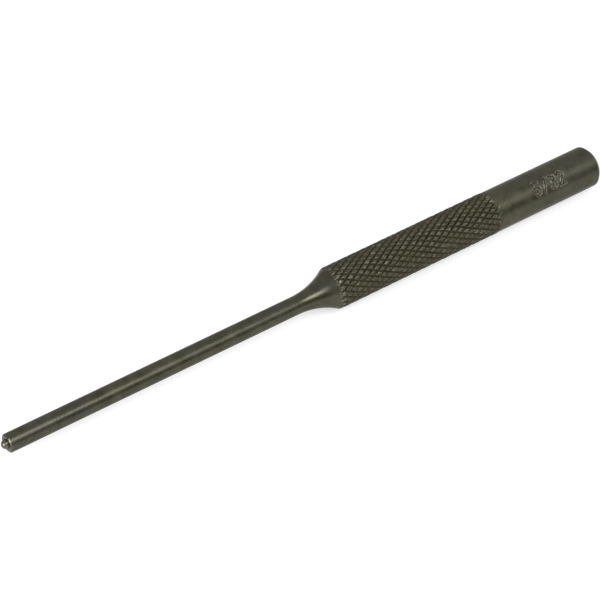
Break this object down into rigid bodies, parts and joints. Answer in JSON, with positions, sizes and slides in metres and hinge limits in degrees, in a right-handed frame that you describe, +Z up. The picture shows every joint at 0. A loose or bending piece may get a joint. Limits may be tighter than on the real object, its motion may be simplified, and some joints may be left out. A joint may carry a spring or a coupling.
{
  "type": "pin punch",
  "caption": "One-piece steel punch with a long slim shank, a round centring nib at its tip, a hollow neck, a diamond-knurled grip and a plain chamfered head, for driving out spring pins.",
  "frame": {"origin": "centre of the shoulder at the tip, on the punch's axis, where it seats on the pin being driven", "axes": "+X along the punch's axis from the tip to the struck end, +Z up with the punch lying on its side, +Y completes a right-handed frame"},
  "size_m": [0.15, 0.0094, 0.0094],
  "materials": {
    "tool_steel": "satin olive-black oxide over turned steel, brighter along edges and on the nib"
  },
  "bodies": {
    "root": {"punch_body": "tool_steel"}
  },
  "joints": []
}
